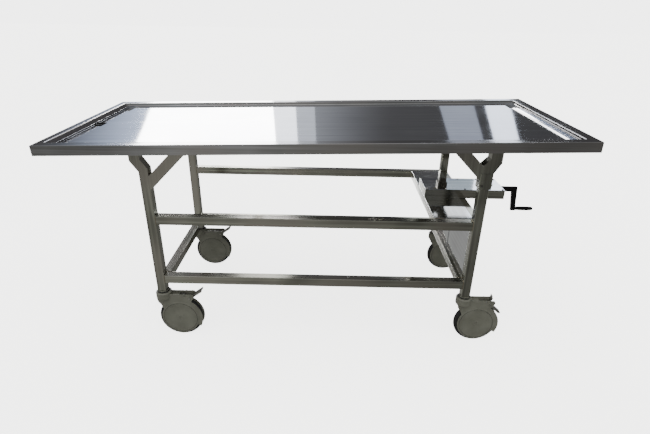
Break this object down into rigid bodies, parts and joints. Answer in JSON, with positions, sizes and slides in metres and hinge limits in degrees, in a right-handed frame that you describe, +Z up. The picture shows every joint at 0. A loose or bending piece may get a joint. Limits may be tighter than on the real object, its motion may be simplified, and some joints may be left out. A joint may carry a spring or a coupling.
{
  "type": "autopsy cart",
  "caption": "Autopsy cart: dished top with end drain channels, hinged at the foot and raised at the head by a crank, mitre gears and a screw jack, on a tube frame with braked swivel casters.",
  "frame": {"origin": "on the floor, under the middle of the outline", "axes": "+X along the top towards the head end and crank, +Y across, +Z up"},
  "size_m": [2.1843, 0.87, 1.0185],
  "materials": {
    "polished_stainless": "bright polish, slight grain",
    "satin_stainless": "satin brushed",
    "grey_nylon": "moulded satin",
    "black_rubber": "matt",
    "zinc_steel": "zinc plated",
    "screw_steel": "greased, machined",
    "bronze": "machined",
    "black_enamel": "semi-gloss",
    "black_plastic": "satin moulded",
    "white_acetal": "natural"
  },
  "bodies": {
    "base": {"foot_leg_front": "satin_stainless", "foot_leg_rear": "satin_stainless", "foot_cross_beam": "satin_stainless", "head_leg_front": "satin_stainless", "head_leg_rear": "satin_stainless", "mid_rail_front": "satin_stainless", "mid_rail_rear": "satin_stainless", "low_rail_front": "satin_stainless", "low_rail_rear": "satin_stainless", "foot_end_rail": "satin_stainless", "head_end_rail": "satin_stainless", "head_mid_rail": "satin_stainless", "shelf_rail": "satin_stainless", "shelf_pan": "polished_stainless", "head_end_panel": "polished_stainless", "caster_sockets": "satin_stainless", "gear_housing": "satin_stainless", "housing_lid": "polished_stainless", "hinge_brackets": "satin_stainless", "hinge_pins": "satin_stainless"},
    "table": {"table_pan": "polished_stainless", "front_edge": "polished_stainless", "rear_edge": "polished_stainless", "foot_edge": "polished_stainless", "head_edge": "polished_stainless", "cross_channels": "satin_stainless", "hinge_knuckles": "satin_stainless", "drain_fitting": "polished_stainless"},
    "yoke": {"head_sleeve_front": "satin_stainless", "head_sleeve_rear": "satin_stainless", "yoke_beam_inner": "satin_stainless", "yoke_beam_outer": "satin_stainless", "rest_bar": "polished_stainless", "lift_tube": "polished_stainless", "lift_nut": "bronze", "sleeve_glides": "white_acetal"},
    "screw": {"jack_screw": "screw_steel", "screw_gear": "bronze"},
    "crank": {"crank_handle": "black_enamel", "crank_gear": "bronze"},
    "grip": {"crank_grip": "black_plastic"},
    "caster_foot_front": {"caster_fork_fl": "grey_nylon"},
    "wheel_foot_front": {"wheel_rim_fl": "grey_nylon", "wheel_tyre_fl": "black_rubber"},
    "brake_foot_front": {"brake_pedal_fl": "zinc_steel"},
    "caster_foot_rear": {"caster_fork_rl": "grey_nylon"},
    "wheel_foot_rear": {"wheel_rim_rl": "grey_nylon", "wheel_tyre_rl": "black_rubber"},
    "brake_foot_rear": {"brake_pedal_rl": "zinc_steel"},
    "caster_head_front": {"caster_fork_fr": "grey_nylon"},
    "wheel_head_front": {"wheel_rim_fr": "grey_nylon", "wheel_tyre_fr": "black_rubber"},
    "brake_head_front": {"brake_pedal_fr": "zinc_steel"},
    "caster_head_rear": {"caster_fork_rr": "grey_nylon"},
    "wheel_head_rear": {"wheel_rim_rr": "grey_nylon", "wheel_tyre_rr": "black_rubber"},
    "brake_head_rear": {"brake_pedal_rr": "zinc_steel"}
  },
  "joints": [
    {"name": "head_lift", "type": "slide", "parent": "base", "child": "yoke", "axis": [0, 0, 1], "range_m": [-0.0369, 0.03]},
    {"name": "table_tilt", "type": "hinge", "parent": "base", "child": "table", "pos_m": [-0.704, 0, 0.942], "axis": [0, -1, 0], "range_deg": [-1.51, 1.23]},
    {"name": "screw_spin", "type": "hinge", "parent": "base", "child": "screw", "pos_m": [0.836, 0, 0.657], "axis": [0, 0, 1], "range_deg": [-1085, 1335]},
    {"name": "crank_spin", "type": "hinge", "parent": "base", "child": "crank", "pos_m": [0.836, 0, 0.657], "axis": [1, 0, 0], "range_deg": [-1085, 1335]},
    {"name": "grip_spin", "type": "hinge", "parent": "crank", "child": "grip", "pos_m": [0.978, -0.02485, 0.56427], "axis": [1, 0, 0], "continuous": true},
    {"name": "swivel_foot_front", "type": "hinge", "parent": "base", "child": "caster_foot_front", "pos_m": [-0.704, -0.33, 0.25], "axis": [0, 0, 1], "continuous": true},
    {"name": "roll_foot_front", "type": "hinge", "parent": "caster_foot_front", "child": "wheel_foot_front", "pos_m": [-0.634, -0.33, 0.1015], "axis": [0, 1, 0], "continuous": true},
    {"name": "brake_foot_front", "type": "hinge", "parent": "caster_foot_front", "child": "brake_foot_front", "pos_m": [-0.5815, -0.33, 0.211], "axis": [0, 1, 0], "range_deg": [0, 78]},
    {"name": "swivel_foot_rear", "type": "hinge", "parent": "base", "child": "caster_foot_rear", "pos_m": [-0.704, 0.33, 0.25], "axis": [0, 0, 1], "continuous": true},
    {"name": "roll_foot_rear", "type": "hinge", "parent": "caster_foot_rear", "child": "wheel_foot_rear", "pos_m": [-0.634, 0.33, 0.1015], "axis": [0, 1, 0], "continuous": true},
    {"name": "brake_foot_rear", "type": "hinge", "parent": "caster_foot_rear", "child": "brake_foot_rear", "pos_m": [-0.5815, 0.33, 0.211], "axis": [0, 1, 0], "range_deg": [0, 78]},
    {"name": "swivel_head_front", "type": "hinge", "parent": "base", "child": "caster_head_front", "pos_m": [0.704, -0.33, 0.25], "axis": [0, 0, 1], "continuous": true},
    {"name": "roll_head_front", "type": "hinge", "parent": "caster_head_front", "child": "wheel_head_front", "pos_m": [0.774, -0.33, 0.1015], "axis": [0, 1, 0], "continuous": true},
    {"name": "brake_head_front", "type": "hinge", "parent": "caster_head_front", "child": "brake_head_front", "pos_m": [0.8265, -0.33, 0.211], "axis": [0, 1, 0], "range_deg": [-78, 0]},
    {"name": "swivel_head_rear", "type": "hinge", "parent": "base", "child": "caster_head_rear", "pos_m": [0.704, 0.33, 0.25], "axis": [0, 0, 1], "continuous": true},
    {"name": "roll_head_rear", "type": "hinge", "parent": "caster_head_rear", "child": "wheel_head_rear", "pos_m": [0.774, 0.33, 0.1015], "axis": [0, 1, 0], "continuous": true},
    {"name": "brake_head_rear", "type": "hinge", "parent": "caster_head_rear", "child": "brake_head_rear", "pos_m": [0.8265, 0.33, 0.211], "axis": [0, 1, 0], "range_deg": [0, 78]}
  ],
  "couplings": [
    {"joint": "table_tilt", "follows": "head_lift", "rad_per_m": 0.7097},
    {"joint": "screw_spin", "follows": "head_lift", "rad_per_m": -628.32},
    {"joint": "crank_spin", "follows": "head_lift", "rad_per_m": -628.32}
  ]
}
